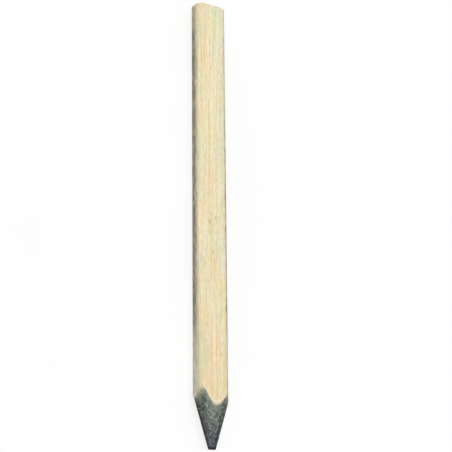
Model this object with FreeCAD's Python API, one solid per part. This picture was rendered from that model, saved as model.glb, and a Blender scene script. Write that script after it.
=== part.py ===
"""Flat carpenter's pencil: two grooved halves of a wooden casing, glued together round a flat lead.

Millimetres, +Z up. The pencil lies on a wide face, along Y: its point looks towards -Y and its sawn end
towards +Y. X runs across its width. The origin is in the plane that it rests on, under the middle of its
length and width.
"""

import FreeCAD, Part
import os
from FreeCAD import Vector

# The blank
LENGTH = 180.0
WIDTH = 13.5
THICKNESS = 7.5
EDGE_RADIUS = 3.0  # the four long edges
END_BREAK = 0.25  # chamfer round the sawn end

# The lead, and the glue that holds it and the two casings
LEAD_WIDTH = 5.0
LEAD_THICKNESS = 2.2
GLUE = 0.10  # every glue film has this thickness

# The ground point is an elliptical cone, cut off flat. A slope is the half width gained in 1 mm of length.
SLOPE_ACROSS = 0.30
SLOPE_THROUGH = 0.178
POINT_FLAT = 3.1  # width of the flat
POINT_SHIFT = 0.4  # how far the cone's axis stands off the pencil's, towards +X

# Worked out from the sizes above
TIP_Y = -LENGTH / 2
END_Y = LENGTH / 2
MIDDLE_Z = THICKNESS / 2
APEX_GAP = POINT_FLAT / 2 / SLOPE_ACROSS  # the cone's apex lies this far beyond the flat
GROOVE_WIDTH = LEAD_WIDTH + 2 * GLUE
GROOVES_HEIGHT = LEAD_THICKNESS + 2 * GLUE  # of both grooves together

CLEAR = 1.0  # how far a cutting tool runs past what it cuts


def bar(width, height, bottom):
    """A box of the pencil's length, centred on its width, with its underside at the height bottom."""
    return Part.makeBox(width, LENGTH, height, Vector(-width / 2, TIP_Y, bottom))


def blank():
    """The unpointed pencil as one solid: a bar with round long edges and a chamfered sawn end."""
    solid = bar(WIDTH, THICKNESS, 0.0)
    long_edges = [e for e in solid.Edges if abs(e.Length - LENGTH) < 1e-6]
    solid = solid.makeFillet(EDGE_RADIUS, long_edges)
    end_edges = [e for e in solid.Edges if e.BoundBox.YMin > END_Y - 1e-6]
    return solid.makeChamfer(END_BREAK, end_edges)


def ellipse(distance):
    """The grinding cone's outline at a distance from the flat of the point."""
    centre = Vector(POINT_SHIFT, TIP_Y + distance, MIDDLE_Z)
    across = Vector(SLOPE_ACROSS * (distance + APEX_GAP), 0, 0)
    through = Vector(0, 0, SLOPE_THROUGH * (distance + APEX_GAP))
    return Part.Wire(Part.Ellipse(centre + across, centre + through, centre).toShape())


def grinding_cone():
    """Everything that the point's grinding leaves: a cone from the flat to past the sawn end."""
    return Part.makeLoft([ellipse(0.0), ellipse(LENGTH + CLEAR)], True, True)


def half_space(above):
    """The side of the middle joint that one casing fills, without the glue film's half."""
    height = MIDDLE_Z - GLUE / 2
    return bar(WIDTH + 2 * CLEAR, height, THICKNESS - height if above else 0.0)


def grooves():
    """The passage that the two casings' grooves form together."""
    return bar(GROOVE_WIDTH, GROOVES_HEIGHT, MIDDLE_Z - GROOVES_HEIGHT / 2)


def lead():
    return bar(LEAD_WIDTH, LEAD_THICKNESS, MIDDLE_Z - LEAD_THICKNESS / 2)


def casing(above):
    """One grooved half of the wood."""
    return blank().common(half_space(above)).cut(grooves())


def lead_glue():
    """The film all round the lead, which fills the grooves."""
    return grooves().cut(lead())


def ground(shape):
    """The shape after the point is ground, as one clean solid."""
    solids = shape.common(grinding_cone()).removeSplitter().Solids
    if len(solids) != 1:
        raise ValueError(f"expected one solid, found {len(solids)}")
    return solids[0]


def ground_y(x):
    """Where the cone starts, at a place across the pencil's width, in the plane of the middle joint."""
    return TIP_Y + abs(x - POINT_SHIFT) / SLOPE_ACROSS - APEX_GAP


def glue_line(side):
    """The film between the casings' flat lands, on one side of the lead: -1 is left and 1 is right.

    It is so thin that the cone cuts it along a straight line.
    """
    inner = side * GROOVE_WIDTH / 2
    outer = side * WIDTH / 2
    outline = [
        (inner, ground_y(inner)),
        (outer, ground_y(outer)),
        (outer, END_Y - END_BREAK),
        (outer - side * END_BREAK, END_Y),
        (inner, END_Y),
    ]
    bottom = MIDDLE_Z - GLUE / 2
    wire = Part.makePolygon([Vector(x, y, bottom) for x, y in outline + outline[:1]])
    return Part.Face(wire).extrude(Vector(0, 0, GLUE))


def main():
    nodes = {
        "casing_upper": ground(casing(above=True)),
        "casing_lower": ground(casing(above=False)),
        "graphite_lead": ground(lead()),
        "lead_glue_sleeve": ground(lead_glue()),
        "glue_line_left": glue_line(-1),
        "glue_line_right": glue_line(1),
    }
    os.makedirs("parts", exist_ok=True)
    for name, solid in nodes.items():
        solid.exportStep(f"parts/{name}.step")
        print(f"{name}: {solid.Volume:.2f} mm3, valid {solid.isValid()}")


main()
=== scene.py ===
"""A bare wooden carpenter's pencil, lying on a pale floor.

The CAD model gives every outer size. Here the two halves of the casing, the lead and the glue get their
real surfaces: grain, pores, a rough ground point that graphite has blackened, and a sawn end. Shapes are
worked out in millimetres and become metres when a mesh is made. Every mark is cut inwards, so that
nothing stands outside the CAD solids.

A pattern of marks is noise, and its size is that of its features across, along and through the pencil.
Seeds and offsets are any numbers; they only make patterns differ.
"""

import itertools
import math

import bmesh
import bpy
import numpy as np
from mathutils import Matrix, Vector


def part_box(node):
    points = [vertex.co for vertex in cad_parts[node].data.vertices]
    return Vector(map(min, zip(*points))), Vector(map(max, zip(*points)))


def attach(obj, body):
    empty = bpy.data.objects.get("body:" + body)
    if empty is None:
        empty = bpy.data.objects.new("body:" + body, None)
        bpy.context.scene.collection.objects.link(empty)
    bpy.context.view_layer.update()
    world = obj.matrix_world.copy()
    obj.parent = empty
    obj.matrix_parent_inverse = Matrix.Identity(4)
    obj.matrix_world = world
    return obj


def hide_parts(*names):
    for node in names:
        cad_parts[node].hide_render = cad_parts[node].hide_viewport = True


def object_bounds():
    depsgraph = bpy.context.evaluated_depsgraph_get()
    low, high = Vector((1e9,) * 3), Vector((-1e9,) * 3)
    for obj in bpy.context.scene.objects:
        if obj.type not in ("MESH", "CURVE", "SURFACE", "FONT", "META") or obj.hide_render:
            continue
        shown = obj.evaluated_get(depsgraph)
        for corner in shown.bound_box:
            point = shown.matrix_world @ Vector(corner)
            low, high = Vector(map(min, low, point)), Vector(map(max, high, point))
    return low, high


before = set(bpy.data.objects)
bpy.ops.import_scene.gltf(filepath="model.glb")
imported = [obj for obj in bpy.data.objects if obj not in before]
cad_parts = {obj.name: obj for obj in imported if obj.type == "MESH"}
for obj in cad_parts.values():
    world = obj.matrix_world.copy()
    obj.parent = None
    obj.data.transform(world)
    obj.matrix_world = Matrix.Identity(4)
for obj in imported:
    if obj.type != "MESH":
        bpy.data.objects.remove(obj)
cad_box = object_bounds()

MM = 0.001

# ---------------------------------------------------------------- sizes in millimetres, from the frame


def half_section(node):
    """Half of a node's width and half of its thickness."""
    low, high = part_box(node)
    return (high.x - low.x) / 2 / MM, (high.z - low.z) / 2 / MM


LOW, HIGH = (corner / MM for corner in cad_box)
TIP_Y = LOW.y
END_Y = HIGH.y
MIDDLE_Z = (LOW.z + HIGH.z) / 2
BLANK_HALF = HIGH.x, (HIGH.z - LOW.z) / 2
LEAD_HALF = half_section("graphite_lead")
GROOVE_HALF = half_section("lead_glue_sleeve")
FILM_HALF = half_section("glue_line_left")[1]

# What no box shows: the round edges, the sawn end's chamfer and the grinding cone, as in the CAD model
EDGE_RADIUS = 3.0
END_BREAK = 0.25
SLOPE_ACROSS = 0.30  # half width of the cone's section gained in 1 mm of length
SLOPE_THROUGH = 0.178
POINT_FLAT = 3.1  # width of the cone where it is cut off
POINT_SHIFT = 0.4  # how far the cone's axis stands off the pencil's, towards +X
APEX_GAP = POINT_FLAT / 2 / SLOPE_ACROSS

# ---------------------------------------------------------------- noise, the same on every run

SLOPE_COUNT = 256
NOISE_GAIN = 1.7  # makes the noise swing between about -1 and 1


def lattice_noise(points, seed):
    """Smooth noise from about -1 to 1 at each point, with features one unit across."""
    random = np.random.default_rng(seed)
    shuffled = random.permutation(SLOPE_COUNT)
    slopes = random.normal(size=(SLOPE_COUNT, 3))
    slopes /= np.linalg.norm(slopes, axis=1, keepdims=True)
    cell = np.floor(points).astype(int)
    part = points - cell
    ease = part**3 * (part * (part * 6 - 15) + 10)
    total = np.zeros(points.shape[:-1])
    for corner in itertools.product((0, 1), repeat=3):
        index = 0
        for axis in range(3):
            index = shuffled[(index + cell[..., axis] + corner[axis]) % SLOPE_COUNT]
        weight = np.prod(np.where(corner, ease, 1 - ease), axis=-1)
        total += weight * (slopes[index] * (part - corner)).sum(axis=-1)
    return total * NOISE_GAIN


def noise(at, size, seed, octaves=1):
    """Noise with features of a size in millimetres. Each octave is half as large as the one before."""
    total = np.zeros(at.shape[:-1])
    for octave in range(octaves):
        finer = 2.0**octave
        total += lattice_noise(at / np.asarray(size) * finer, seed + octave) / finer
    return total


def smooth_step(value, low, high):
    """0 up to low, 1 from high on, and an eased rise between them."""
    share = np.clip((value - low) / (high - low), 0, 1)
    return share * share * (3 - 2 * share)


# ---------------------------------------------------------------- sections, as reaches of rays
# A ray starts on the point's axis, at a height above the pencil's middle, and turns from +X towards +Z.
# Here z is measured from the middle too.

NEARLY_ZERO = 1e-9
FINE_STEPS = 8001  # angles at which an outline is measured before it is divided evenly


def box_reach(angles, height, half):
    """How far each ray runs to a rectangle round the pencil's axis."""
    across = np.cos(angles)
    up = np.sin(angles)
    across = np.where(np.abs(across) < NEARLY_ZERO, NEARLY_ZERO, across)
    up = np.where(np.abs(up) < NEARLY_ZERO, NEARLY_ZERO, up)
    to_side = (np.sign(across) * half[0] - POINT_SHIFT) / across
    to_face = (np.sign(up) * half[1] - height) / up
    return np.minimum(to_side, to_face)


def blank_reach(angles, height):
    """How far each ray runs to the pencil's outline, with its round edges."""
    reach = box_reach(angles, height, BLANK_HALF)
    x = POINT_SHIFT + reach * np.cos(angles)
    z = height + reach * np.sin(angles)
    flat_x = BLANK_HALF[0] - EDGE_RADIUS
    flat_z = BLANK_HALF[1] - EDGE_RADIUS
    from_x = POINT_SHIFT - np.sign(x) * flat_x
    from_z = height - np.sign(z) * flat_z
    along = from_x * np.cos(angles) + from_z * np.sin(angles)
    inside = np.maximum(along**2 - from_x**2 - from_z**2 + EDGE_RADIUS**2, 0)
    on_round = (np.abs(x) > flat_x) & (np.abs(z) > flat_z)
    return np.where(on_round, np.sqrt(inside) - along, reach)


def cone_depth(angles, height, reach):
    """How far from its apex the grinding cone passes through the end of each ray."""
    return np.hypot(
        reach * np.cos(angles) / SLOPE_ACROSS,
        (height + reach * np.sin(angles)) / SLOPE_THROUGH,
    )


def cone_reach(angles, height, depth):
    """How far each ray runs to the cone's section at a distance from its apex."""
    across = np.cos(angles) / SLOPE_ACROSS
    up = np.sin(angles) / SLOPE_THROUGH
    start = height / SLOPE_THROUGH
    square = across**2 + up**2
    return (np.sqrt((start * up) ** 2 - square * (start**2 - depth**2)) - start * up) / square


def cone_y(depth):
    """Where along the pencil a distance from the cone's apex is."""
    return TIP_Y + depth - APEX_GAP


def crest_share(angles, height, reach):
    """Where on the cone's section a point is: 0 on the narrow sides and 1 on the wide faces' crests.

    It rises late on the right, so that the painted shade on the flanks reaches further round the right
    one.
    """
    above = np.abs(height + reach * np.sin(angles)) / SLOPE_THROUGH
    share = above / cone_depth(angles, height, reach)
    return np.where(np.cos(angles) > 0, share**3, share)


def even_angles(first, last, height, spacing, half):
    """Angles of rays that meet the outline about a spacing apart, some through a box's corners."""
    fine = np.linspace(first, last, FINE_STEPS)
    reach = blank_reach(fine, height)
    outline = np.stack([reach * np.cos(fine), reach * np.sin(fine)], axis=-1)
    steps = np.linalg.norm(np.diff(outline, axis=0), axis=1)
    run = np.concatenate([[0], np.cumsum(steps)])
    angles = np.interp(np.linspace(0, run[-1], round(run[-1] / spacing) + 1), run, fine)
    for x, z in itertools.product((-half[0], half[0]), (-half[1], half[1])):
        corner = math.atan2(z - height, x - POINT_SHIFT) % math.tau
        if first < corner < last:
            angles[np.argmin(np.abs(angles - corner))] = corner
    return angles


def column(first, last, rows):
    """Evenly spaced numbers from first to last, one for each row."""
    return np.linspace(first, last, rows)[:, None]


def stack_rows(*stretches):
    """The reach and the y of every ray in every row, from stretches of rows that give both."""
    pairs = [np.broadcast_arrays(reach, y) for reach, y in stretches]
    return np.vstack([reach for reach, y in pairs]), np.vstack([y for reach, y in pairs])


def places(angles, height, reach, y, side=1):
    """The points that rays end at. side is 1 for the upper half and -1 for the lower one."""
    x = POINT_SHIFT + reach * np.cos(angles)
    z = height + reach * np.sin(angles)
    return np.stack(np.broadcast_arrays(x, y, MIDDLE_Z + side * z), axis=-1)


# ---------------------------------------------------------------- meshes

SHARP_ANGLE = math.radians(50)


def grid_faces(rows, columns, rows_close, columns_close):
    """The quads of a grid of points, and the n-gons that close it where it is open."""
    index = np.arange(rows * columns).reshape(rows, columns)
    down = np.roll(index, -1, axis=0) if rows_close else index[1:]
    up = index if rows_close else index[:-1]
    corners = [up, down, np.roll(down, -1, axis=1), np.roll(up, -1, axis=1)]
    if not columns_close:
        corners = [corner[:, :-1] for corner in corners]
    faces = np.stack(corners, axis=-1).reshape(-1, 4).tolist()
    if not columns_close:
        faces += [index[:, 0].tolist(), index[::-1, -1].tolist()]
    if not rows_close:
        faces += [index[0, ::-1].tolist(), index[-1].tolist()]
    return faces


def make_piece(name, grid, node, slot, material, *, rows_close, columns_close, **attributes):
    """One closed piece from a grid of points in millimetres, standing for a CAD node.

    Attributes are numbers that the mesh keeps at its points, for its material.
    """
    rows, columns = grid.shape[:2]
    faces = grid_faces(rows, columns, rows_close, columns_close)
    mesh = bpy.data.meshes.new(name)
    mesh.from_pydata((grid.reshape(-1, 3) * MM).tolist(), [], faces)
    for title, values in attributes.items():
        layer = mesh.attributes.new(title, "FLOAT", "POINT")
        all_values = np.broadcast_to(values, (rows, columns)).astype(np.float32)
        layer.data.foreach_set("value", all_values.ravel())
    work = bmesh.new()
    work.from_mesh(mesh)
    bmesh.ops.recalc_face_normals(work, faces=work.faces)
    work.to_mesh(mesh)
    work.free()
    mesh.shade_smooth()
    mesh.set_sharp_from_angle(angle=SHARP_ANGLE)
    piece = bpy.data.objects.new(name, mesh)
    bpy.context.scene.collection.objects.link(piece)
    mesh.materials.append(material)
    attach(piece, "root")
    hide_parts(node)


# ---------------------------------------------------------------- the casing

TAPER_ROWS = 130
SHANK_ROWS = 425
BREAK_ROWS = 3
END_RINGS = 14
INNER_ROWS = 8
FADE_ROWS = 8  # rows over which the cone's marks fade in beside the groove
CASING_SPACING = 0.12

# Sizes of the patterns
LUMPS = (0.62, 0.75, 0.62)
GRIT = (0.24, 0.24, 0.24)
PORE_DASHES = (0.34, 1.1, 0.34)
PORE_PATCHES = (3.0, 14.0, 3.0)
PLANING_WAVES = (5.0, 28.0, 5.0)
RAISED_GRAIN = (0.3, 6.0, 0.3)
SIDE_ROUGHNESS = (0.4, 0.8, 0.4)
LINE_GAPS = (50.0, 14.0, 50.0)
DIRT_AND_SHADE_FRINGE = (1.0, 3.5, 1.0)
DIRT_AND_SHADE_WANDER = (50.0, 9.0, 50.0)
SPLINTERS = (0.35, 1.5, 0.35)
SAW_WANDER = (2.0, 2.0, 2.0)
END_PITS = (0.3, 0.3, 0.3)

# How deep the marks are cut. A wavy mark reaches up to twice its depth.
CONE_DEPTH = 0.08
WAVE_DEPTH = 0.025
GRAIN_DEPTH = 0.010
SIDE_DEPTH = 0.020
PORE_DEPTH = 0.05
LINE_DEPTH = 0.03
SPLINTER_DEPTH = 0.06
SAW_DEPTH = 0.035
PIT_DEPTH = 0.05

CONE_FADE = (-0.1, 0.5)  # below the cone's edge, where its marks fade in
BLANK_FADE = (0.0, 1.5)  # above that edge, where the blank's marks fade in
SPLINTER_LENGTH = 0.9
LINE_INWARD = 0.15  # from the start of the round edge to the scored line's middle
LINE_WIDTH = 0.12
LINE_ENDS = (-0.3, 0.5)  # of the gaps' noise
SAW_LEAN = 0.35  # how far the saw's marks climb in 1 mm across
SAW_WAVES = 9.0  # radians of the saw's marks in 1 mm
SAW_SWING = 1.5  # radians
PIT_RIM = (0.35, 0.8)  # of the pits' noise

# What the ground point's roughness is made of
LUMP_SHARE = 0.42
GRIT_SHARE = 0.2

# A pore opens where its noise passes a bar, which is lower on the narrow sides and in patches
PORE_BAR = 0.86
SIDE_PORES = 0.22
PATCH_PORES = 0.12
PORE_RIM = 0.25

# How dark scored lines and pits are beside a pore
LINE_DARKNESS = 0.35
PIT_DARKNESS = 0.6

# Where the narrow sides' dark lies, partly dirt and partly painted shade, measured down the round edges: 0
# at a wide face and 1 at a narrow side
DIRT_AND_SHADE_START = 0.40
DIRT_AND_SHADE_RISE = 0.25  # how much higher it starts near the point, where it is also thinner
DIRT_AND_SHADE_SPREAD = 0.72
DIRT_AND_SHADE_THINNED = 0.2
DIRT_AND_SHADE_NEAR_POINT = (TIP_Y + 25, TIP_Y + 55)
LOWER_DIRT_AND_SHADE = (0.12, 0.45)
RIGHT_DIRT_AND_SHADE = (0.03, 0.29)
RIGHT_DIRT_AND_SHADE_FADES = (20.0, 60.0)  # along the pencil
RIGHT_DIRT_AND_SHADE_LOSS = 0.5
FRINGE_SWING = 0.07
WANDER_SWING = 0.04


def ground_marks(at, seed):
    """How rough the ground point is, from 0 in its pits to 1 on its ridges."""
    lumps = noise(at, LUMPS, seed, octaves=2)
    grit = noise(at, GRIT, seed + 10)
    return np.clip(0.5 + LUMP_SHARE * lumps + GRIT_SHARE * grit, 0, 1)


def wood_pores(at, narrow, seed):
    """Open pores, from 0 to 1: short dark dashes along the grain, crowded on the narrow sides."""
    dashes = noise(at, PORE_DASHES, seed)
    patches = noise(at, PORE_PATCHES, seed + 5)
    bar = PORE_BAR - SIDE_PORES * narrow - PATCH_PORES * patches
    return smooth_step(dashes, bar, bar + PORE_RIM)


def arris_lines(at, angles, seed):
    """Faint scored lines, from 0 to 1, which the shaping cutter left where the round edges start."""
    across = np.abs(POINT_SHIFT + blank_reach(angles, FILM_HALF) * np.cos(angles))
    inward = BLANK_HALF[0] - EDGE_RADIUS - across
    line = np.exp(-(((inward - LINE_INWARD) / LINE_WIDTH) ** 2))
    return line * smooth_step(noise(at, LINE_GAPS, seed), *LINE_ENDS)


def planed_marks(at, narrow, pores, lines, seed):
    """How deep the planed surface lies: waves, raised grain, rough sides, pores and scored lines."""
    waves = WAVE_DEPTH * (1 + noise(at, PLANING_WAVES, seed))
    grain = GRAIN_DEPTH * (1 + noise(at, RAISED_GRAIN, seed + 1))
    rough = SIDE_DEPTH * narrow * (1 + noise(at, SIDE_ROUGHNESS, seed + 2, octaves=2))
    return np.maximum(waves + grain + rough + PORE_DEPTH * pores, 0) + LINE_DEPTH * lines


def splinter_marks(at, y, seed):
    """How deep the wood is torn beside the sawn end."""
    near_end = smooth_step(y, END_Y - SPLINTER_LENGTH, END_Y)
    return SPLINTER_DEPTH * near_end * (1 + noise(at, SPLINTERS, seed))


def saw_marks(at, seed):
    """How deep the sawn end's slanting marks are, from 0 to 1."""
    slant = at[..., 0] * SAW_LEAN + at[..., 2]
    return 0.5 + 0.5 * np.sin(slant * SAW_WAVES + SAW_SWING * noise(at, SAW_WANDER, seed))


def side_dirt_and_shade(at, down, angles, side, seed):
    """Dirt and painted shade, from 0 to 1: on the narrow sides, up the right edge and far round the lower
    half.
    """
    y = at[..., 1]
    wander = noise(at, DIRT_AND_SHADE_WANDER, seed + 1, octaves=2)
    fringe = noise(at, DIRT_AND_SHADE_FRINGE, seed, octaves=3)
    down = down + FRINGE_SWING * fringe + WANDER_SWING * wander
    near_point = 1 - smooth_step(y, *DIRT_AND_SHADE_NEAR_POINT)
    dirt_and_shade = np.clip((down - DIRT_AND_SHADE_START + DIRT_AND_SHADE_RISE * near_point) / DIRT_AND_SHADE_SPREAD, 0, 1)
    dirt_and_shade = dirt_and_shade * (1 - DIRT_AND_SHADE_THINNED * near_point)
    if side < 0:
        # The lower half's round edges are darkened as painted shade beneath the pencil, with some dirt.
        return np.maximum(dirt_and_shade, smooth_step(down, *LOWER_DIRT_AND_SHADE))
    # The thin dark line up the right edge is partly dirt and partly painted shade.
    on_right = (np.cos(angles) > 0) * (1 - RIGHT_DIRT_AND_SHADE_LOSS * smooth_step(y, *RIGHT_DIRT_AND_SHADE_FADES))
    return np.maximum(dirt_and_shade, on_right * smooth_step(down, *RIGHT_DIRT_AND_SHADE))


def casing_rows(angles):
    """Reach and y of each row of points: from the groove's mouth to the sawn end and back inside.

    The third value is how far from the cone's apex the blank starts.
    """
    height = FILM_HALF
    groove = box_reach(angles, height, GROOVE_HALF)
    blank = blank_reach(angles, height)
    start = cone_depth(angles, height, groove)
    edge = cone_depth(angles, height, blank)

    depth = start + (edge - start) * column(0, 1, TAPER_ROWS + 1)
    taper = cone_reach(angles, height, depth), cone_y(depth)
    share = column(0, 1, SHANK_ROWS + 1)[1:]
    shank = blank, cone_y(edge) + (END_Y - END_BREAK - cone_y(edge)) * share
    cut = column(0, END_BREAK, BREAK_ROWS + 1)[1:]
    chamfer = blank - cut, END_Y - END_BREAK + cut
    share = column(0, 1, END_RINGS + 1)[1:]
    rings = blank - END_BREAK + (groove - blank + END_BREAK) * share, END_Y
    share = column(0, 1, INNER_ROWS + 1)[1:-1]
    inside = groove, END_Y + (cone_y(start) - END_Y) * share
    reach, y = stack_rows(taper, shank, chamfer, rings, inside)
    return reach, y, edge


def casing(name, node, material, side, seed):
    """One half of the wood. Returns its edges beside the right and the left film, up to the sawn end."""
    angles = even_angles(0, math.pi, FILM_HALF, CASING_SPACING, GROOVE_HALF)
    reach, y, edge = casing_rows(angles)
    at = places(angles, FILM_HALF, reach, y, side)

    row = np.arange(len(reach))[:, None]
    outer = TAPER_ROWS + 1 + SHANK_ROWS + BREAK_ROWS  # how many rows come before the sawn end's rings
    on_taper = (row <= TAPER_ROWS) * np.minimum(row / FADE_ROWS, 1)
    on_blank = (row > TAPER_ROWS) & (row < outer)
    on_end = (row >= outer) & (row < outer + END_RINGS - 1)
    below_edge = cone_y(edge) - y

    height = np.abs(FILM_HALF + blank_reach(angles, FILM_HALF) * np.sin(angles))
    down = (BLANK_HALF[1] - height) / EDGE_RADIUS
    narrow = np.minimum(down, 1)
    pores = wood_pores(at, narrow, seed) * on_blank
    relief = ground_marks(at, seed + 20)
    lines = arris_lines(at, angles, seed + 70)
    pits = smooth_step(noise(at, END_PITS, seed + 51), *PIT_RIM)
    attributes = {
        "below_edge": below_edge,
        "relief": relief,
        "pores": pores + LINE_DARKNESS * lines * on_blank + PIT_DARKNESS * pits * on_end,
        # Dirt and painted shade on the narrow sides, up the right edge and round the lower half.
        "dirt_and_shade_share": side_dirt_and_shade(at, down, angles, side, seed + 60) * (row < outer),
        "sawn": (row >= outer - 1).astype(float),
        "lean": 4 * narrow * (1 - narrow),  # 1 halfway down a round edge and 0 on the flats
        "crest": crest_share(angles, FILM_HALF, reach),
    }

    planed = smooth_step(-below_edge, *BLANK_FADE) * planed_marks(at, narrow, pores, lines, seed + 40)
    splinters = splinter_marks(at, y, seed + 30)
    reach = reach - on_taper * smooth_step(below_edge, *CONE_FADE) * CONE_DEPTH * (1 - relief)
    reach = reach - on_blank * (planed + splinters)
    y = y - on_end * (SAW_DEPTH * saw_marks(at, seed + 50) + PIT_DEPTH * pits)
    grid = places(angles, FILM_HALF, reach, y, side)
    make_piece(name, grid, node, "wood", material, rows_close=True, columns_close=False, **attributes)
    return grid[:outer, 0], grid[:outer, -1]


# ---------------------------------------------------------------- the lead

LEAD_TIP_RINGS = 10
LEAD_CONE_ROWS = 44
LEAD_WALL_ROWS = 8
LEAD_END_RINGS = 12
LEAD_SPACING = 0.22
LEAD_HUB = 0.06  # the ends' innermost ring, as a share of their outline
LEAD_DEPTH = 0.05  # of the marks
TIP_BREAK = 0.12  # how far beyond the flat the cone starts
TIP_ROUND = 0.06  # how far the flat's rim is worn back
TIP_RIM = (0.8, 1.0)  # the rim, as shares of the flat
END_RIM = 0.97  # the sawn end's outermost ring, as a share of its outline
END_HOLLOW = 0.03  # how far the lead's sawn end lies under the wood's


def lead_rows(angles):
    """Reach and y of each row of points, from the worn end's middle to the sawn end's middle."""
    wall = box_reach(angles, 0, LEAD_HALF)
    tip = cone_reach(angles, 0, APEX_GAP)
    start = cone_depth(angles, 0, wall)

    share = column(LEAD_HUB, 1, LEAD_TIP_RINGS)
    face = tip * share, TIP_Y + TIP_ROUND * smooth_step(share, *TIP_RIM)
    first = APEX_GAP + TIP_BREAK
    depth = first + (start - first) * column(0, 1, LEAD_CONE_ROWS)
    cone = cone_reach(angles, 0, depth), cone_y(depth)
    share = column(0, 1, LEAD_WALL_ROWS + 1)[1:]
    walls = wall, cone_y(start) + (END_Y - cone_y(start)) * share
    end = wall * column(END_RIM, LEAD_HUB, LEAD_END_RINGS), END_Y - END_HOLLOW
    return stack_rows(face, cone, walls, end)


def lead(name, node, material, seed):
    """The lead: a flat worn end, its share of the cone, plain walls in the glue, and a sawn end."""
    angles = even_angles(0, math.tau, 0, LEAD_SPACING, LEAD_HALF)[:-1]
    reach, y = lead_rows(angles)
    relief = ground_marks(places(angles, 0, reach, y), seed)
    marks = LEAD_DEPTH * (1 - relief)

    row = np.arange(len(reach))[:, None]
    before_walls = LEAD_TIP_RINGS + LEAD_CONE_ROWS
    on_face = row < LEAD_TIP_RINGS
    on_cone = (row >= LEAD_TIP_RINGS) & (row < before_walls)
    on_end = row >= before_walls + LEAD_WALL_ROWS
    fade = np.clip((before_walls - 1 - row) / FADE_ROWS, 0, 1)
    reach = reach - on_cone * fade * marks
    y = y + on_face * marks - on_end * marks
    grid = places(angles, 0, reach, y)
    attributes = {"relief": relief, "crest": crest_share(angles, 0, reach)}
    make_piece(name, grid, node, "graphite", material, rows_close=False, columns_close=True, **attributes)


# ---------------------------------------------------------------- the glue

GLUE_ROWS = 40
GLUE_HOLLOW = 0.02  # how far the sleeve's end lies under the wood's
FILM_RECESS = 0.02
FILM_WAVES = (1.0, 1.5, 1.0)
FILM_WAVE_DEPTH = 0.01
LEAST_FILM = 0.01  # width
FILM_SEED = 71


def glue_sleeve(name, node, material):
    """The film round the lead, which shows as a thin ring on the cone and at the sawn end."""
    angles = even_angles(0, math.tau, 0, LEAD_SPACING, GROOVE_HALF)[:-1]
    share = column(0, 1, GLUE_ROWS)
    walls = []
    for half, steps in ((GROOVE_HALF, share), (LEAD_HALF, share[::-1])):
        wall = box_reach(angles, 0, half)
        mouth = cone_y(cone_depth(angles, 0, wall))
        walls.append((wall, mouth + (END_Y - GLUE_HOLLOW - mouth) * steps))
    reach, y = stack_rows(*walls)
    grid = places(angles, 0, reach, y)
    make_piece(name, grid, node, "glue", material, rows_close=True, columns_close=True)


def glue_film(name, node, material, upper_line, lower_line):
    """The film between the two halves on one side, a little under the wood that it joins.

    The lines are those of the wood's edges beside it, from the groove's mouth to the sawn end.
    """
    side = np.sign(upper_line[0, 0])
    recess = FILM_RECESS + FILM_WAVE_DEPTH * noise(upper_line, FILM_WAVES, FILM_SEED)
    outer = np.minimum(np.abs(upper_line[:, 0]), np.abs(lower_line[:, 0])) - recess
    outer_x = side * np.maximum(outer, GROOVE_HALF[0] + LEAST_FILM)
    inner_x = np.full_like(outer_x, side * GROOVE_HALF[0])
    y = upper_line[:, 1]
    low = np.full_like(y, MIDDLE_Z - FILM_HALF)
    high = np.full_like(y, MIDDLE_Z + FILM_HALF)
    corners = [(inner_x, low), (outer_x, low), (outer_x, high), (inner_x, high)]
    grid = np.stack([np.stack([x, y, z], axis=-1) for x, z in corners], axis=1)
    make_piece(name, grid[1:], node, "glue", material, rows_close=False, columns_close=True)


# ---------------------------------------------------------------- materials


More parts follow.
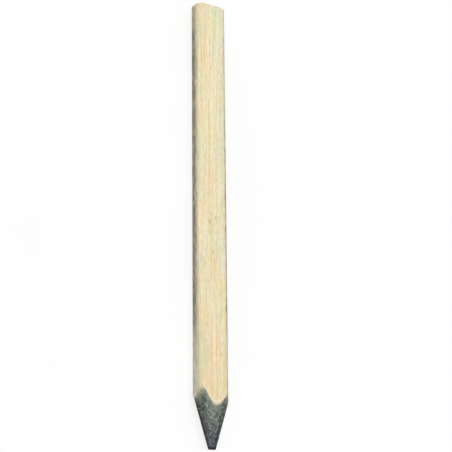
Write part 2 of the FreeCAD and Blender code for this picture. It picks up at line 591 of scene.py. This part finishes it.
class Shader:
    """A material's node tree. Each method adds one or a few nodes and returns their output."""

    def __init__(self, name):
        self.material = bpy.data.materials.new(name)
        self.material.use_nodes = True
        self.nodes = self.material.node_tree.nodes
        self.links = self.material.node_tree.links
        self.surface = next(node for node in self.nodes if node.type == "BSDF_PRINCIPLED")

    def put(self, socket, value):
        """Feeds an input with another node's output, a number or a colour."""
        if isinstance(value, bpy.types.NodeSocket):
            self.links.new(value, socket)
        elif isinstance(value, tuple) and len(value) == 3 and socket.type == "RGBA":
            socket.default_value = (*value, 1)
        else:
            socket.default_value = value

    def place(self):
        """The point's place in the pencil's frame, in millimetres."""
        place = self.nodes.new("ShaderNodeTexCoord").outputs["Object"]
        return self.vector("SCALE", place, scale=1 / MM)

    def part(self, vector, axis):
        """One of a vector's three numbers."""
        node = self.nodes.new("ShaderNodeSeparateXYZ")
        self.put(node.inputs[0], vector)
        return node.outputs[axis]

    def attribute(self, name):
        """One of the numbers that the mesh stores at its points."""
        node = self.nodes.new("ShaderNodeAttribute")
        node.attribute_name = name
        return node.outputs["Fac"]

    def vector(self, operation, a, b=None, scale=None):
        """An operation on vectors. LENGTH gives a number."""
        node = self.nodes.new("ShaderNodeVectorMath")
        node.operation = operation
        self.put(node.inputs[0], a)
        if b is not None:
            self.put(node.inputs[1], b)
        if scale is not None:
            self.put(node.inputs["Scale"], scale)
        return node.outputs["Value" if operation == "LENGTH" else "Vector"]

    def turned(self, place, degrees):
        """The place after a turn about the vertical axis."""
        node = self.nodes.new("ShaderNodeVectorRotate")
        node.rotation_type = "Z_AXIS"
        self.put(node.inputs["Vector"], place)
        self.put(node.inputs["Angle"], math.radians(degrees))
        return node.outputs[0]

    def distance(self, place, centre, scale):
        """How far a place is from a centre, when each axis is scaled first."""
        apart = self.vector("SUBTRACT", place, centre)
        return self.vector("LENGTH", self.vector("MULTIPLY", apart, scale))

    def math(self, operation, a, b):
        """An operation on two numbers."""
        node = self.nodes.new("ShaderNodeMath")
        node.operation = operation
        self.put(node.inputs[0], a)
        self.put(node.inputs[1], b)
        return node.outputs[0]

    def add(self, first, *others):
        """The sum of some numbers."""
        for other in others:
            first = self.math("ADD", first, other)
        return first

    def times(self, a, b):
        """The product of two numbers."""
        return self.math("MULTIPLY", a, b)

    def swing(self, noise, width):
        """Noise that is moved to swing about 0 and stretched from 1 to a width."""
        return self.times(self.math("SUBTRACT", noise, 0.5), width)

    def grade(self, value, low, high, to_low=0.0, to_high=1.0):
        """value from low to high becomes to_low to to_high, eased and held at both ends."""
        node = self.nodes.new("ShaderNodeMapRange")
        node.interpolation_type = "SMOOTHSTEP"
        for socket, given in zip(node.inputs, (value, low, high, to_low, to_high)):
            self.put(socket, given)
        return node.outputs[0]

    def blend(self, share, a, b):
        """A number on the way from a to b."""
        node = self.nodes.new("ShaderNodeMix")
        self.put(node.inputs[0], share)
        self.put(node.inputs[2], a)  # 2 and 3 are for numbers
        self.put(node.inputs[3], b)
        return node.outputs[0]

    def noise(self, place, size, offset, detail=2.0, roughness=0.5):
        """Noise from 0 to 1 with features of a size in millimetres."""
        spread = self.vector("DIVIDE", place, size)
        moved = self.vector("ADD", spread, (offset, offset, offset))
        node = self.nodes.new("ShaderNodeTexNoise")
        self.put(node.inputs["Vector"], moved)
        self.put(node.inputs["Scale"], 1.0)
        self.put(node.inputs["Detail"], detail)
        self.put(node.inputs["Roughness"], roughness)
        return node.outputs["Fac"]

    def mix(self, share, a, b):
        """A colour on the way from a to b."""
        node = self.nodes.new("ShaderNodeMix")
        node.data_type = "RGBA"
        self.put(node.inputs[0], share)
        self.put(node.inputs[6], a)  # 6 and 7 are for colours
        self.put(node.inputs[7], b)
        return node.outputs[2]

    def tint(self, colour, noise, change):
        """Shifts red, green and blue by a change's shares of themselves as noise leaves its middle."""
        shift = self.vector("SCALE", change, scale=self.math("SUBTRACT", noise, 0.5))
        return self.vector("MULTIPLY", colour, self.vector("ADD", shift, (1, 1, 1)))

    def ramp(self, value, stops):
        """Colours at places from 0 to 1."""
        node = self.nodes.new("ShaderNodeValToRGB")
        ramp = node.color_ramp
        while len(ramp.elements) < len(stops):
            ramp.elements.new(0.5)
        for element, (position, colour) in zip(ramp.elements, stops):
            element.position = position
            element.color = (*colour, 1)
        self.put(node.inputs[0], value)
        return node.outputs["Color"]

    def bump(self, height, distance, strength):
        """A normal bent as if heights from 0 to 1 stood out by a distance in millimetres."""
        node = self.nodes.new("ShaderNodeBump")
        self.put(node.inputs["Height"], height)
        self.put(node.inputs["Distance"], distance * MM)
        self.put(node.inputs["Strength"], strength)
        return node.outputs["Normal"]

    def finish(self, colour, roughness, normal, specular):
        """Joins everything to the surface and returns the material."""
        self.put(self.surface.inputs["Base Color"], colour)
        self.put(self.surface.inputs["Roughness"], roughness)
        self.put(self.surface.inputs["Normal"], normal)
        self.put(self.surface.inputs["Specular IOR Level"], specular)
        return self.material


# Tints: what red, green and blue gain, as shares of themselves, while noise goes from 0 to 1
PINK_TO_GREEN = (-0.30, 0.11, 0.05)
YELLOW_TO_GREY = (0.00, 0.02, 0.50)
LIGHT_TO_DARK = (-0.42, -0.46, -0.53)
DIRT_AND_SHADE_TO_DARK = (-1.1, -1.1, -1.0)

# ---------------------------------------------------------------- graphite
# A grading holds a low and a high value, and what they become: 0 and 1 where nothing else is given.

GREEN_GRAPHITE = [
    (0.24, (0.020, 0.023, 0.020)),
    (0.46, (0.064, 0.078, 0.064)),
    (0.58, (0.110, 0.135, 0.112)),
    (0.74, (0.200, 0.238, 0.200)),
]
BLUE_GRAPHITE = [
    (0.24, (0.007, 0.009, 0.011)),
    (0.46, (0.017, 0.023, 0.028)),
    (0.58, (0.038, 0.050, 0.061)),
    (0.74, (0.115, 0.138, 0.162)),
]
BLACK_GRAPHITE_AND_SHADE = (0.010, 0.010, 0.011)
THIN_GRAPHITE = (0.225, 0.210, 0.115)
RUBBED_GRAPHITE = (0.190, 0.200, 0.150)
TORN_WOOD_AND_HIGHLIGHT = (0.86, 0.78, 0.62)
BLUE_FADES = (TIP_Y + 4, TIP_Y + 12, 1.0, 0.0)

GRAPHITE_PATCHES = (1.1, 1.5, 1.1)
STROKES = (0.32, 1.5, 0.45)
STROKE_TURNS = [(35, 11.0), (-50, 19.0)]  # degrees away from the pencil's length, and the noise's offset
STROKE_WEIGHT = 0.38
BRIGHT_STROKES = (0.56, 0.70, 0.0, 0.12)
RIDGE_WEIGHT = 0.40
# Painted shade on the cone's flanks and a painted highlight along its crests, graded by the crest share
FLANK_PAINTED_SHADE = (0.0, 0.40, -0.92, -0.70)
CREST_PAINTED_HIGHLIGHT = (0.60, 1.0, 0.0, 0.20)

BLACK_END = 1.1  # how far the black, the graphite's own dark with painted shade over it, reaches up the point from the worn end
BLACK_FADES = (TIP_Y + 0.4 * BLACK_END, TIP_Y + BLACK_END, 1.0, 0.0)
BLACK_FRINGE = (0.7, 0.7, 0.7)

# Graphite round the cone's edge: distances below it, and leans, which are 1 on the round edges
EDGE_FRINGE = (0.45, 1.3, 0.45)
EDGE_SWING = 2.2
LIP_START = (-2.2, -0.9)
LIP_OFF_ROUND = (0.0, 0.6, 0.35, 0.0)
SMEAR_ABOVE = 1.2
SMEAR_LEAN = 1.3  # how much further it reaches up the round edges
SMEAR_END = 0.3
SMEAR_STRENGTH = 0.50
FILM_PATCHES = (1.5, 2.5, 1.5)
FILM_SHARPNESS = (0.40, 0.60)
OLIVE_START = (-0.2, 0.5)
OLIVE_STRENGTHS = (0.45, 0.92)
FILM_ABOVE = 0.5
FILM_LEANS = (0.5, 1.9)  # how much lower the grey starts on the round edges
RUBBED_WITHIN = 1.5
GREY_WITHIN = 4.0
BLACK_START = (0.0, 1.0)


def graphite_colour(shader, place, relief):
    """Rubbed graphite: dark in pits, grey-green on ridges, bluer towards the tip, with painted shade on
    the flanks and a painted highlight along the crests.
    """
    crest = shader.attribute("crest")
    patches = shader.noise(place, GRAPHITE_PATCHES, offset=7.0, detail=3, roughness=0.6)
    level = shader.add(shader.times(relief, RIDGE_WEIGHT), patches)
    for degrees, offset in STROKE_TURNS:
        strokes = shader.noise(shader.turned(place, degrees), STROKES, offset)
        bright = shader.grade(strokes, *BRIGHT_STROKES)
        level = shader.add(level, shader.times(strokes, STROKE_WEIGHT), bright)
    # Painted shade on the flanks and a painted highlight along the crests
    level = shader.add(level, shader.grade(crest, *FLANK_PAINTED_SHADE), shader.grade(crest, *CREST_PAINTED_HIGHLIGHT))
    towards_tip = shader.grade(shader.part(place, "Y"), *BLUE_FADES)
    colour = shader.mix(towards_tip, shader.ramp(level, GREEN_GRAPHITE), shader.ramp(level, BLUE_GRAPHITE))
    # The worn end and the cone's lowest rim are painted near black: dark graphite with painted shade.
    return shader.mix(black_share(shader, place), colour, BLACK_GRAPHITE_AND_SHADE)


def black_share(shader, place):
    """1 on the worn end of the point and on a ragged black rim up the cone, and 0 above: the graphite's
    own dark with painted shade over it.
    """
    ragged = shader.noise(place, BLACK_FRINGE, offset=29.0)
    return shader.grade(shader.add(shader.part(place, "Y"), shader.swing(ragged, BLACK_END)), *BLACK_FADES)


def blackened(shader, place, colour, ragged):
    """Graphite rubbed over the wood: a pale lip of torn wood with a painted highlight, a smear, an olive
    film on the round edges, then the full grey.

    Returns the colour, and how much of the surface is graphite.
    """
    lean = shader.attribute("lean")
    reach = shader.add(shader.attribute("below_edge"), shader.swing(ragged, EDGE_SWING))
    # A pale band just above the graphite on the flats: torn wood, with a painted highlight of its edge.
    torn_lip_and_highlight = shader.times(shader.grade(reach, *LIP_START), shader.grade(lean, *LIP_OFF_ROUND))
    colour = shader.mix(torn_lip_and_highlight, colour, TORN_WOOD_AND_HIGHLIGHT)
    smear = shader.math("SUBTRACT", shader.times(lean, -SMEAR_LEAN), SMEAR_ABOVE)
    smeared = shader.grade(reach, smear, SMEAR_END, 0.0, SMEAR_STRENGTH)
    colour = shader.mix(smeared, colour, RUBBED_GRAPHITE)
    patchy = shader.grade(shader.noise(place, FILM_PATCHES, offset=43.0, detail=3), *FILM_SHARPNESS)
    olive = shader.times(shader.grade(reach, *OLIVE_START), shader.blend(patchy, *OLIVE_STRENGTHS))
    colour = shader.mix(olive, colour, shader.tint(THIN_GRAPHITE, ragged, LIGHT_TO_DARK))
    film = shader.math("SUBTRACT", shader.times(lean, shader.blend(patchy, *FILM_LEANS)), FILM_ABOVE)
    rubbed = shader.grade(reach, film, shader.add(film, RUBBED_WITHIN))
    colour = shader.mix(rubbed, colour, RUBBED_GRAPHITE)
    full = shader.grade(reach, film, shader.add(film, GREY_WITHIN))
    colour = shader.mix(full, colour, graphite_colour(shader, place, shader.attribute("relief")))
    return colour, shader.grade(reach, *BLACK_START)


# ---------------------------------------------------------------- wood

WOOD_WANDER = (9.0, 42.0, 9.0)
BAND_SWING = 3.0
PINK_AREAS = (4.6, 11.0, 4.6)
YELLOW_AREAS = (2.8, 7.5, 2.8)
FIBRES = (0.28, 3.6, 0.28)
GRAIN = (0.55, 1.4, 0.55)
STREAKS = (0.8, 30.0, 0.8)
BLOTCHES = (1.2, 2.8, 1.2)
GRAIN_BUMP = 0.6
PORE_STRENGTH = 0.55
SAWN_STRENGTH = 0.35

SAWN_WOOD = (0.46, 0.34, 0.19)
PORE = (0.20, 0.15, 0.08)
UPPER_BANDS = [
    (0.00, (0.68, 0.615, 0.405)),
    (0.26, (0.735, 0.64, 0.41)),
    (0.36, (0.745, 0.64, 0.405)),
    (0.48, (0.75, 0.66, 0.435)),
    (0.56, (0.72, 0.64, 0.425)),
    (0.66, (0.71, 0.665, 0.45)),
    (0.78, (0.73, 0.67, 0.455)),
    (0.86, (0.71, 0.63, 0.415)),
    (1.00, (0.735, 0.66, 0.46)),
]
LOWER_BANDS = [
    (0.00, (0.74, 0.64, 0.43)),
    (0.30, (0.70, 0.60, 0.39)),
    (0.45, (0.76, 0.67, 0.46)),
    (0.70, (0.72, 0.60, 0.41)),
    (1.00, (0.75, 0.65, 0.44)),
]

# Growth rings, round a pith that lies outside the pencil
UPPER_PITH = (-64.0, 0.0, -9.0)
LOWER_PITH = (-58.0, 0.0, 26.0)
RING_WIDTH = 2.6
RING_SWING = 1.6
LATE_WOOD = (0.60, 0.40, 0.19)
LATE_PART = (0.28, 0.5)  # where it starts and where it is darkest, if a ring's middle is 0.5
LATE_STRENGTH = 0.10
LATE_STRENGTH_SAWN = 0.5

# Handling near the point multiplies the wood's colour
HANDLED_LEFT = (0.955, 0.915, 0.90)
HANDLED_RIGHT = (1.02, 0.95, 0.87)
HANDLED_ACROSS = (-2.0, 4.0)
HANDLED_FADES = (TIP_Y + 20, TIP_Y + 80, 1.0, 0.0)

# Dirt and painted shade on the narrow sides: paler and greyer near the point, darker further back, and
# thinner at the sawn end
PALE_DIRT_AND_SHADE = (0.42, 0.415, 0.335)
DARK_DIRT_AND_SHADE = (0.170, 0.161, 0.125)
DIRT_AND_SHADE_DARKENS = (TIP_Y + 30, TIP_Y + 54)
DIRT_AND_SHADE_FADES = (END_Y - 16, END_Y - 5, 1.0, 0.66)
DIRT_AND_SHADE_IN_FIBRES = (0.3, 0.6, 0.74, 1.03)
DIRT_AND_SHADE_IN_BLOTCHES = (0.3, 0.6, 0.72, 1.08)

# Small dark flecks on the upper face: x, y and strength
FLECKS = [
    (-2.2, -3.4, 0.5),
    (0.5, -1.6, 0.3),
    (-0.8, -15.6, 0.3),
    (-1.0, 62.0, 0.3),
    (2.6, -55.0, 0.3),
]
FLECK_SCALE = (1.0, 0.45, 1.0)  # draws them out along the grain
FLECK_INNER = 0.12
FLECK_OUTER = 0.50

# The green stain on the upper face
STAIN_CENTRE = (1.3, END_Y - 2.5, HIGH.z)
STAIN_SCALE = (0.55, 0.14, 0.5)
STAIN_FRINGE = (1.0, 2.4, 1.0)
FRINGE_WIDTH = 0.9
STAIN_FADES = (0.5, 1.5, 0.5, 0.0)
STAIN = (0.55, 0.75, 0.50)
DOTS = (0.5, 0.6, 0.5)
DOT_RIM = (0.58, 0.66)
DOTS_FADE = (0.7, 1.4, 0.7, 0.0)
DOT = (0.16, 0.26, 0.17)

# How rough and how shiny the surfaces are
FIBRE_ROUGHNESS = (0.2, 0.8, 0.58, 0.74)
RUBBED_ROUGHNESS = (0.2, 0.8, 0.66, 0.46)
WOOD_SHINE = 0.3
RUBBED_SHINE = (0.0, 0.40, 0.10, 0.45)


def wood_material(name, pith, bands, offset):
    """Bare planed wood with rings, streaks, fibres and pores, dirt and painted shade on its narrow sides,
    and graphite over its point.
    """
    shader = Shader(name)
    place = shader.place()
    sawn = shader.attribute("sawn")
    fibres = shader.noise(place, FIBRES, offset + 3, detail=3, roughness=0.6)
    grain = shader.noise(place, GRAIN, offset + 5, detail=3, roughness=0.6)
    streaks = shader.noise(place, STREAKS, offset + 7)
    blotches = shader.noise(place, BLOTCHES, offset + 9, detail=4, roughness=0.65)
    ragged = shader.noise(place, EDGE_FRINGE, offset + 13, detail=3, roughness=0.6)

    colour = handled(shader, place, banded(shader, place, sawn, pith, bands, offset))
    for texture in (fibres, grain, streaks):
        colour = shader.tint(colour, texture, LIGHT_TO_DARK)
    colour = shader.mix(shader.times(shader.attribute("pores"), PORE_STRENGTH), colour, PORE)
    # Dirt and painted shade darken the narrow sides.
    colour = soiled_and_shaded(shader, place, colour, fibres, blotches)
    colour = shader.mix(shader.times(sawn, SAWN_STRENGTH), colour, SAWN_WOOD)
    colour = stained(shader, place, colour)
    for fleck in FLECKS:
        colour = shader.mix(fleck_share(shader, place, *fleck), colour, PORE)
    colour, black = blackened(shader, place, colour, ragged)

    rubbed = shader.grade(shader.attribute("relief"), *RUBBED_ROUGHNESS)
    roughness = shader.blend(black, shader.grade(fibres, *FIBRE_ROUGHNESS), rubbed)
    height = shader.blend(black, shader.add(fibres, shader.times(grain, GRAIN_BUMP)), ragged)
    shine = shader.blend(black, WOOD_SHINE, shader.grade(shader.attribute("crest"), *RUBBED_SHINE))
    normal = shader.bump(height, distance=0.04, strength=0.6)
    return shader.finish(colour, roughness, normal, shine)


def banded(shader, place, sawn, pith, bands, offset):
    """Bands across the width, with growth rings, and with pink, green, yellow and grey areas."""
    wander = shader.noise(place, WOOD_WANDER, offset)
    across = shader.add(shader.part(place, "X"), shader.swing(wander, BAND_SWING), BLANK_HALF[0])
    colour = shader.ramp(shader.math("DIVIDE", across, 2 * BLANK_HALF[0]), bands)
    colour = shader.mix(ring_share(shader, place, pith, wander, sawn), colour, LATE_WOOD)
    colour = shader.tint(colour, shader.noise(place, PINK_AREAS, offset + 17), PINK_TO_GREEN)
    return shader.tint(colour, shader.noise(place, YELLOW_AREAS, offset + 23), YELLOW_TO_GREY)


def ring_share(shader, place, pith, wander, sawn):
    """Late wood, as the dark part of each growth ring round the pith."""
    from_pith = shader.distance(place, pith, (1, 0, 1))
    rings = shader.add(shader.math("DIVIDE", from_pith, RING_WIDTH), shader.times(wander, RING_SWING))
    late = shader.grade(shader.math("PINGPONG", rings, 0.5), *LATE_PART)
    return shader.times(late, shader.add(LATE_STRENGTH, shader.times(sawn, LATE_STRENGTH_SAWN)))


def handled(shader, place, colour):
    """Wood that hands have dirtied near the point: darker on the left and warmer on the right."""
    rightwards = shader.grade(shader.part(place, "X"), *HANDLED_ACROSS)
    change = shader.mix(rightwards, HANDLED_LEFT, HANDLED_RIGHT)
    near_point = shader.grade(shader.part(place, "Y"), *HANDLED_FADES)
    return shader.mix(near_point, colour, shader.vector("MULTIPLY", colour, change))


def soiled_and_shaded(shader, place, colour, fibres, blotches):
    """Dirt and painted shade on the narrow sides, patchy with the grain."""
    along = shader.part(place, "Y")
    share = shader.times(shader.grade(along, *DIRT_AND_SHADE_FADES), shader.attribute("dirt_and_shade_share"))
    share = shader.times(share, shader.grade(fibres, *DIRT_AND_SHADE_IN_FIBRES))
    share = shader.times(share, shader.grade(blotches, *DIRT_AND_SHADE_IN_BLOTCHES))
    dirt_and_shade = shader.mix(shader.grade(along, *DIRT_AND_SHADE_DARKENS), PALE_DIRT_AND_SHADE, DARK_DIRT_AND_SHADE)
    for texture in (fibres, blotches):
        dirt_and_shade = shader.tint(dirt_and_shade, texture, DIRT_AND_SHADE_TO_DARK)
    return shader.mix(share, colour, dirt_and_shade)


def fleck_share(shader, place, x, y, strength):
    """How dark one fleck is."""
    distance = shader.distance(place, (x, y, HIGH.z), FLECK_SCALE)
    return shader.grade(distance, FLECK_INNER, FLECK_OUTER, strength, 0.0)


def stained(shader, place, colour):
    """A faint green stain with darker dots, on the upper face next to the sawn end."""
    spread = shader.noise(place, STAIN_FRINGE, offset=31.0, detail=4, roughness=0.7)
    from_centre = shader.distance(place, STAIN_CENTRE, STAIN_SCALE)
    distance = shader.add(from_centre, shader.times(spread, FRINGE_WIDTH))
    colour = shader.mix(shader.grade(distance, *STAIN_FADES), colour, STAIN)
    dots = shader.grade(shader.noise(place, DOTS, offset=37.0, detail=1), *DOT_RIM)
    return shader.mix(shader.times(dots, shader.grade(distance, *DOTS_FADE)), colour, DOT)


# ---------------------------------------------------------------- lead and glue

LEAD_GRIT = (0.10, 0.10, 0.10)
LEAD_ROUGHNESS = (0.2, 0.9, 0.6, 0.42)
LEAD_SHINE = (0.5, 0.15)  # on the cone and on the worn end
GLUE_CLOUDS = (0.8, 3.0, 0.8)
AMBER = [(0.3, (0.30, 0.20, 0.09)), (0.7, (0.52, 0.40, 0.22))]
BLACK_GLUE = (0.045, 0.047, 0.043)
GLUE_FADES = (TIP_Y + 16, TIP_Y + 19, 1.0, 0.0)
GLUE_ROUGHNESS = (0.3, 0.7, 0.35, 0.55)
GLUE_SHINE = 0.5


def lead_material(name):
    """The bare lead: as black as the point, smoother, and with a dull shine."""
    shader = Shader(name)
    place = shader.place()
    relief = shader.attribute("relief")
    colour = graphite_colour(shader, place, relief)
    shine = shader.blend(black_share(shader, place), *LEAD_SHINE)
    normal = shader.bump(shader.noise(place, LEAD_GRIT, offset=3.0), distance=0.02, strength=0.5)
    return shader.finish(colour, shader.grade(relief, *LEAD_ROUGHNESS), normal, shine)


def glue_material(name):
    """Dried wood glue: amber, with dust in it, and blackened where the point was ground."""
    shader = Shader(name)
    place = shader.place()
    cloud = shader.noise(place, GLUE_CLOUDS, offset=2.0, detail=3)
    at_point = shader.grade(shader.part(place, "Y"), *GLUE_FADES)
    colour = shader.mix(at_point, shader.ramp(cloud, AMBER), BLACK_GLUE)
    normal = shader.bump(cloud, distance=0.02, strength=0.4)
    return shader.finish(colour, shader.grade(cloud, *GLUE_ROUGHNESS), normal, GLUE_SHINE)


# ---------------------------------------------------------------- floor

FLOOR_HALF = 4.0  # metres
FLOOR_CLOUDS = (40.0, 40.0, 40.0)
FLOOR_DARK = (0.19, 0.19, 0.19)
FLOOR_LIGHT = (0.21, 0.21, 0.21)
FLOOR_ROUGHNESS = 0.9
FLOOR_SHINE = 0.1
FLOOR_GLOW = 0.765


def floor_material():
    """Pale paper. It glows, so that it looks nearly white and shadows on it stay faint."""
    shader = Shader("floor_paper")
    place = shader.place()
    tone = shader.noise(place, FLOOR_CLOUDS, offset=1.0)
    shader.put(shader.surface.inputs["Emission Color"], (1.0, 1.0, 1.0))
    shader.put(shader.surface.inputs["Emission Strength"], FLOOR_GLOW)
    colour = shader.mix(tone, FLOOR_DARK, FLOOR_LIGHT)
    normal = shader.bump(tone, distance=0.01, strength=1.0)
    return shader.finish(colour, FLOOR_ROUGHNESS, normal, FLOOR_SHINE)


def make_floor():
    """A square under the pencil, far larger than the view."""
    work = bmesh.new()
    corners = [(-1, -1), (1, -1), (1, 1), (-1, 1)]
    work.faces.new([work.verts.new((x * FLOOR_HALF, y * FLOOR_HALF, 0)) for x, y in corners])
    mesh = bpy.data.meshes.new("floor")
    work.to_mesh(mesh)
    work.free()
    floor = bpy.data.objects.new("floor", mesh)
    bpy.context.scene.collection.objects.link(floor)
    mesh.materials.append(floor_material())


# ---------------------------------------------------------------- light

LAMP_WIDTH = math.radians(30)
LAMP_COLOUR = (1.0, 0.985, 0.96)
SKY = (0.56, 0.565, 0.58, 1)
SEEN_SKY = (0.97, 0.97, 0.97, 1)  # past the floor's edge


def make_lamp(name, power, leftwards, frontwards):
    """A soft lamp far away, leaning from straight overhead to the left and to the point's side."""
    sun = bpy.data.lights.new(name, "SUN")
    sun.energy = power
    sun.angle = LAMP_WIDTH
    sun.color = LAMP_COLOUR
    lamp = bpy.data.objects.new(name, sun)
    lamp.rotation_euler = (math.radians(frontwards), -math.radians(leftwards), 0)
    bpy.context.scene.collection.objects.link(lamp)


def make_sky():
    """Even light from all round, and a paler background where the camera sees it."""
    world = bpy.data.worlds.new("studio")
    world.use_nodes = True
    nodes = world.node_tree.nodes
    links = world.node_tree.links
    light = nodes["Background"]
    light.inputs["Color"].default_value = SKY
    seen = nodes.new("ShaderNodeBackground")
    seen.inputs["Color"].default_value = SEEN_SKY
    path = nodes.new("ShaderNodeLightPath")
    mix = nodes.new("ShaderNodeMixShader")
    links.new(path.outputs["Is Camera Ray"], mix.inputs[0])
    links.new(light.outputs[0], mix.inputs[1])
    links.new(seen.outputs[0], mix.inputs[2])
    links.new(mix.outputs[0], nodes["World Output"].inputs["Surface"])
    bpy.context.scene.world = world


# ---------------------------------------------------------------- camera

VIEW_ROUND = math.radians(30.98)  # the camera stands this far round to the left of the wide face's normal
VIEW_ALONG = math.radians(19.48)  # and this far along, towards the point
VIEW_DISTANCE = 0.521  # metres
AIM_RIGHT = 0.0123  # radians, as are the next two
AIM_DOWN = 0.0069
ROLL = 0.0070
LENS = 107.4
NEAREST_SEEN = 0.01  # metres


def make_camera():
    """The camera looks at the middle of the pencil from its left, above it and past its point."""
    back = Vector(
        (
            -math.sin(VIEW_ROUND) * math.cos(VIEW_ALONG),
            -math.sin(VIEW_ALONG),
            math.cos(VIEW_ROUND) * math.cos(VIEW_ALONG),
        )
    )
    right = Vector((0, 1, 0)).cross(back).normalized()
    up = back.cross(right)
    facing = Matrix((right, up, back)).transposed()
    sideways = Matrix.Rotation(-AIM_RIGHT, 3, "Y")
    down = Matrix.Rotation(-AIM_DOWN, 3, "X")
    tilt = Matrix.Rotation(-ROLL, 3, "Z")
    aim = sideways @ down @ tilt
    middle = (cad_box[0] + cad_box[1]) / 2
    data = bpy.data.cameras.new("camera")
    data.lens = LENS
    data.clip_start = NEAREST_SEEN
    camera = bpy.data.objects.new("camera", data)
    camera.matrix_world = Matrix.Translation(middle + back * VIEW_DISTANCE) @ (facing @ aim).to_4x4()
    bpy.context.scene.collection.objects.link(camera)
    bpy.context.scene.camera = camera


# ---------------------------------------------------------------- the scene

upper_wood = wood_material("upper_wood", UPPER_PITH, UPPER_BANDS, offset=0.0)
lower_wood = wood_material("lower_wood", LOWER_PITH, LOWER_BANDS, offset=50.0)
dried_glue = glue_material("dried_glue")
upper_right, upper_left = casing("wood_casing_upper", "casing_upper", upper_wood, side=1, seed=100)
lower_right, lower_left = casing("wood_casing_lower", "casing_lower", lower_wood, side=-1, seed=300)
lead("lead_core", "graphite_lead", lead_material("bare_lead"), seed=500)
glue_sleeve("glue_round_lead", "lead_glue_sleeve", dried_glue)
glue_film("glue_film_right", "glue_line_right", dried_glue, upper_right, lower_right)
glue_film("glue_film_left", "glue_line_left", dried_glue, upper_left, lower_left)
make_floor()
make_lamp("key", power=1.35, leftwards=25, frontwards=11)
make_lamp("top", power=0.62, leftwards=-8, frontwards=4)
make_sky()
make_camera()
bpy.context.scene.view_settings.view_transform = "Standard"
